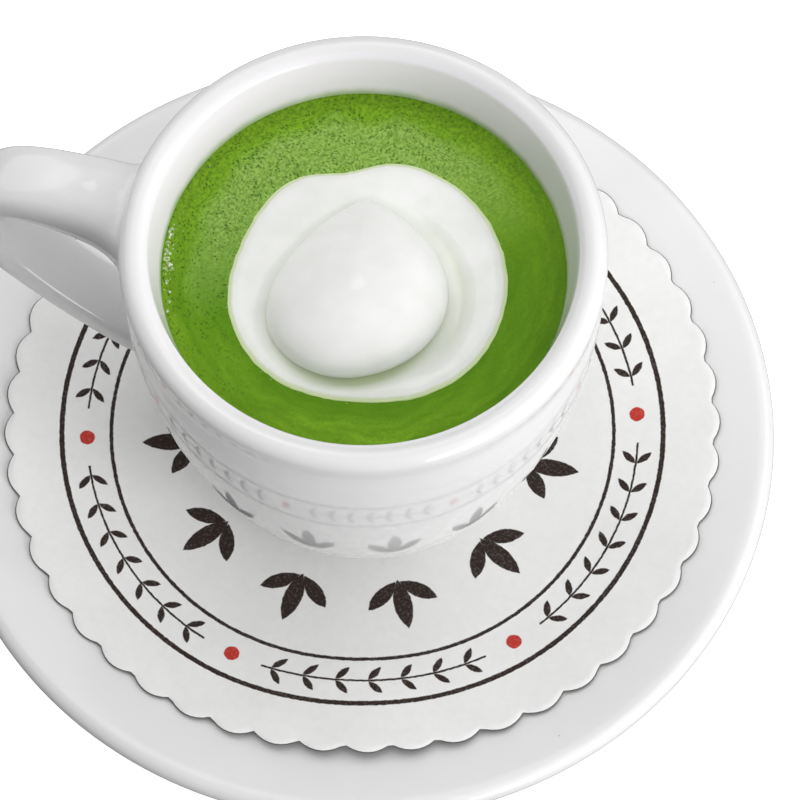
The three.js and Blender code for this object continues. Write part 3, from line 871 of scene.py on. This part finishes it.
def steamed_milk_foam(name, light, shade):
    """Steamed milk: fine bubbles, drawn coarser here than real ones, give a satin white that light sinks into
    a little, and where it is thin the green of the tea shows through. Round the dollop's foot the same
    green-grey is also painted shade."""
    material, tree, shader, place = new_material(name, CUP_CENTRE)
    cloud = add(tree, "TexNoise", {"Vector": place, "Scale": 1 / 6, "Detail": 4.0})
    tone = add(tree, "MapRange", {"Value": cloud, "From Min": 0.35, "From Max": 0.65})
    milk = add(tree, "MixRGB", {"Fac": tone, "Color1": linear(shade), "Color2": linear(light)})
    # The tea mark is tea seen through thin foam, and round the dollop's foot it is also painted shade.
    tea = add(tree, "Attribute", attribute_name="tea").outputs["Fac"]
    faint = add(tree, "MapRange", {"Value": tea, "From Max": 0.5})
    stained = add(tree, "MixRGB", {"Fac": faint, "Color1": milk, "Color2": linear("#cbd6b6")})
    strong = add(tree, "MapRange", {"Value": tea, "From Min": 0.5})
    colour = add(tree, "MixRGB", {"Fac": strong, "Color1": stained, "Color2": linear("#d3e4ab")})
    fine = add(tree, "TexNoise", {"Vector": place, "Scale": 1 / 0.5, "Detail": 2.0})
    relief = add(tree, "Bump", {"Height": fine, "Strength": 0.08, "Distance": 0.0002})
    set_shader(
        tree, shader, Base_Color=colour, Roughness=0.42, Normal=relief, IOR=1.35, Subsurface_Weight=0.2,
        Subsurface_Radius=(0.0016, 0.0016, 0.0012), Subsurface_Scale=1.0,
    )
    return material


# Studio


def make_floor():
    """A pale sweep of paper that looks white, and throws only a little light back up at the saucer."""
    half_size = 1.6
    mesh = bmesh.new()
    bmesh.ops.create_grid(mesh, x_segments=1, y_segments=1, size=half_size)
    data = bpy.data.meshes.new("studio_floor")
    mesh.to_mesh(data)
    mesh.free()
    floor = bpy.data.objects.new("studio_floor", data)
    bpy.context.scene.collection.objects.link(floor)
    material = bpy.data.materials.new("white_backdrop")
    material.use_nodes = True
    tree = material.node_tree
    shader = tree.nodes["Principled BSDF"]
    set_shader(
        tree, shader, Base_Color=linear("#fafafa"), Roughness=0.95, Specular_IOR_Level=0.1,
        Emission_Color=(1, 1, 1, 1), Emission_Strength=0.8,
    )
    table = add(tree, "BsdfDiffuse", {"Color": linear("#8c8c8c")})
    seen = add(tree, "LightPath").outputs["Is Camera Ray"]
    shown = add(tree, "MixShader", {0: seen, 1: table, 2: shader})
    tree.links.new(shown.outputs[0], tree.nodes["Material Output"].inputs["Surface"])
    data.materials.append(material)


def aim(thing, target, roll=0.0):
    """Points a camera or light at a target, then turns it about its own view line."""
    away = Vector(target) - thing.location
    thing.rotation_mode = "QUATERNION"
    thing.rotation_quaternion = away.to_track_quat("-Z", "Y") @ Quaternion((0, 0, 1), roll)


def softbox(name, azimuth, elevation, distance, size, level):
    """A round soft light in a direction from the object, in degrees. Its level is how bright it makes a white
    surface that faces it, where 1 is full white."""
    half = size / 2
    seen_share = half ** 2 / (half ** 2 + distance ** 2)
    data = bpy.data.lights.new(name, "AREA")
    data.shape = "DISK"
    data.size = size
    data.energy = level / seen_share * math.pi * math.pi * half ** 2
    light = bpy.data.objects.new(name, data)
    turn, rise = math.radians(azimuth), math.radians(elevation)
    light.location = distance * Vector((
        math.cos(turn) * math.cos(rise), math.sin(turn) * math.cos(rise), math.sin(rise),
    ))
    bpy.context.scene.collection.objects.link(light)
    middle_of_object = (0, 0, 0.04)
    aim(light, middle_of_object)


def make_camera():
    """The picture is taken through a long lens, 65 degrees above the level and 17 degrees round to the
    right."""
    azimuth, elevation, roll = math.radians(17), math.radians(65.1), math.radians(0.39)
    distance = 791.03 * METRES
    target = Vector((6.364, 7.751, 11.6)) * METRES
    data = bpy.data.cameras.new("camera")
    data.lens = 180
    data.sensor_width = 36
    camera = bpy.data.objects.new("camera", data)
    bpy.context.scene.collection.objects.link(camera)
    level = Vector((math.sin(azimuth), -math.cos(azimuth), 0)) * math.cos(elevation)
    camera.location = target + distance * (level + Vector((0, 0, math.sin(elevation))))
    aim(camera, target, roll)
    bpy.context.scene.camera = camera


def make_world(strength):
    """A dim room round the lights. The camera sees a pale backdrop in its place."""
    backdrop_strength = 0.95
    world = bpy.data.worlds.new("studio")
    world.use_nodes = True
    tree = world.node_tree
    room = tree.nodes["Background"]
    room.inputs["Color"].default_value = (1, 1, 1, 1)
    room.inputs["Strength"].default_value = strength
    backdrop = add(tree, "Background", {"Color": (1, 1, 1, 1), "Strength": backdrop_strength})
    seen = add(tree, "LightPath").outputs["Is Camera Ray"]
    shown = add(tree, "MixShader", {0: seen, 1: room, 2: backdrop})
    tree.links.new(shown.outputs[0], tree.nodes["World Output"].inputs["Surface"])
    bpy.context.scene.world = world


make_camera()
make_floor()
make_world(strength=0.03)
softbox("overhead_softbox", azimuth=0, elevation=90, distance=1.3, size=2.2, level=0.13)
softbox("overhead_lamp", azimuth=0, elevation=90, distance=1.3, size=0.8, level=0.26)
softbox("front_right_low_softbox", azimuth=-29, elevation=10, distance=1.2, size=1.0, level=0.80)
softbox("front_right_high_softbox", azimuth=-18, elevation=35, distance=1.2, size=1.5, level=0.19)
softbox("back_right_softbox", azimuth=52, elevation=40, distance=1.2, size=1.0, level=0.21)
softbox("back_softbox", azimuth=107, elevation=65, distance=1.2, size=1.0, level=0.12)
softbox("back_left_softbox", azimuth=150, elevation=40, distance=1.2, size=1.0, level=0.20)
softbox("left_softbox", azimuth=197, elevation=30, distance=1.2, size=1.0, level=0.09)
bpy.context.scene.view_settings.view_transform = "Standard"

make_saucer(glazed_stoneware("glazed_stoneware_saucer", "#f1f1f1", "#ededed"))
make_doily(printed_tissue_paper())
make_cup(glazed_stoneware("glazed_stoneware_cup", "#f3f3f3", "#eeeeee", tea_level=CUP_BASE + DRINK_LEVEL))
make_drink(whisked_matcha())
make_bubbles(bubble_skin())
make_foam(steamed_milk_foam("steamed_milk_foam", "#ecedea", "#e5e7e2"))
make_dollop(steamed_milk_foam("stiff_milk_foam", "#f0f0ef", "#ebebe9"))
